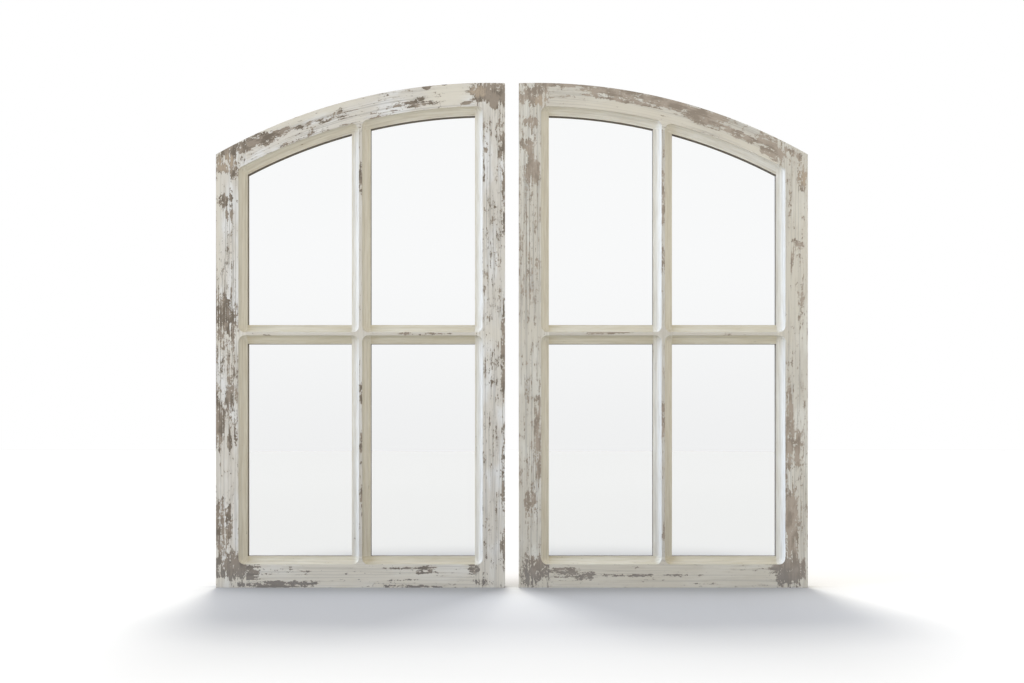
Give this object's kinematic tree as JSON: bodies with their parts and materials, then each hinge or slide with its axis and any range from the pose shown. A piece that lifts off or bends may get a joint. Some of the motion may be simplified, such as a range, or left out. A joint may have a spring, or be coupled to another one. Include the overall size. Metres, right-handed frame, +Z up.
{
  "type": "arched window mirror",
  "caption": "Arched window-sash wall mirror: matching half-arch painted wood sashes with moulded glazing bars and mirror panes, D-ring hangers and a backing board.",
  "frame": {"origin": "at floor level, midway between the two sashes and midway through the depth from the painted faces to the wall bumpers' noses", "axes": "+X to the right along the pair as seen from the front, -Y towards the viewer (the painted faces look along -Y), +Z up"},
  "size_m": [1.243, 0.041, 1.06],
  "materials": {
    "painted_wood": "worn cream milk paint over grey-brown wood, matt",
    "mirror_glass": "silvered flat glass",
    "hardboard": "smooth brown hardboard, matt",
    "steel": "zinc plated, satin",
    "rubber": "matt"
  },
  "bodies": {
    "left_sash": {"left_outer_stile": "painted_wood", "left_meeting_stile": "painted_wood", "left_arched_top_rail": "painted_wood", "left_bottom_rail": "painted_wood", "left_upright_bar": "painted_wood", "left_cross_bar": "painted_wood", "left_lower_outer_mirror": "mirror_glass", "left_lower_inner_mirror": "mirror_glass", "left_upper_outer_mirror": "mirror_glass", "left_upper_inner_mirror": "mirror_glass", "left_backing_board": "hardboard", "left_backing_screws": "steel", "left_hanger_screws": "steel", "left_outer_hanger_strap": "steel", "left_meeting_hanger_strap": "steel", "left_wall_bumpers": "rubber"},
    "right_sash": {"right_outer_stile": "painted_wood", "right_meeting_stile": "painted_wood", "right_arched_top_rail": "painted_wood", "right_bottom_rail": "painted_wood", "right_upright_bar": "painted_wood", "right_cross_bar": "painted_wood", "right_lower_outer_mirror": "mirror_glass", "right_lower_inner_mirror": "mirror_glass", "right_upper_outer_mirror": "mirror_glass", "right_upper_inner_mirror": "mirror_glass", "right_backing_board": "hardboard", "right_backing_screws": "steel", "right_hanger_screws": "steel", "right_outer_hanger_strap": "steel", "right_meeting_hanger_strap": "steel", "right_wall_bumpers": "rubber"},
    "left_outer_ring": {"left_outer_hanger_ring": "steel"},
    "left_meeting_ring": {"left_meeting_hanger_ring": "steel"},
    "right_outer_ring": {"right_outer_hanger_ring": "steel"},
    "right_meeting_ring": {"right_meeting_hanger_ring": "steel"}
  },
  "joints": [
    {"name": "right_sash_lift", "type": "slide", "parent": "left_sash", "child": "right_sash", "axis": [0, 0, 1], "range_m": [0, 0.05]},
    {"name": "left_outer_ring_swing", "type": "hinge", "parent": "left_sash", "child": "left_outer_ring", "pos_m": [-0.59875, 0.0175, 0.76], "axis": [1, 0, 0], "range_deg": [0, 180]},
    {"name": "left_meeting_ring_swing", "type": "hinge", "parent": "left_sash", "child": "left_meeting_ring", "pos_m": [-0.03725, 0.0175, 0.76], "axis": [1, 0, 0], "range_deg": [0, 180]},
    {"name": "right_outer_ring_swing", "type": "hinge", "parent": "right_sash", "child": "right_outer_ring", "pos_m": [0.59875, 0.0175, 0.76], "axis": [1, 0, 0], "range_deg": [0, 180]},
    {"name": "right_meeting_ring_swing", "type": "hinge", "parent": "right_sash", "child": "right_meeting_ring", "pos_m": [0.03725, 0.0175, 0.76], "axis": [1, 0, 0], "range_deg": [0, 180]}
  ]
}
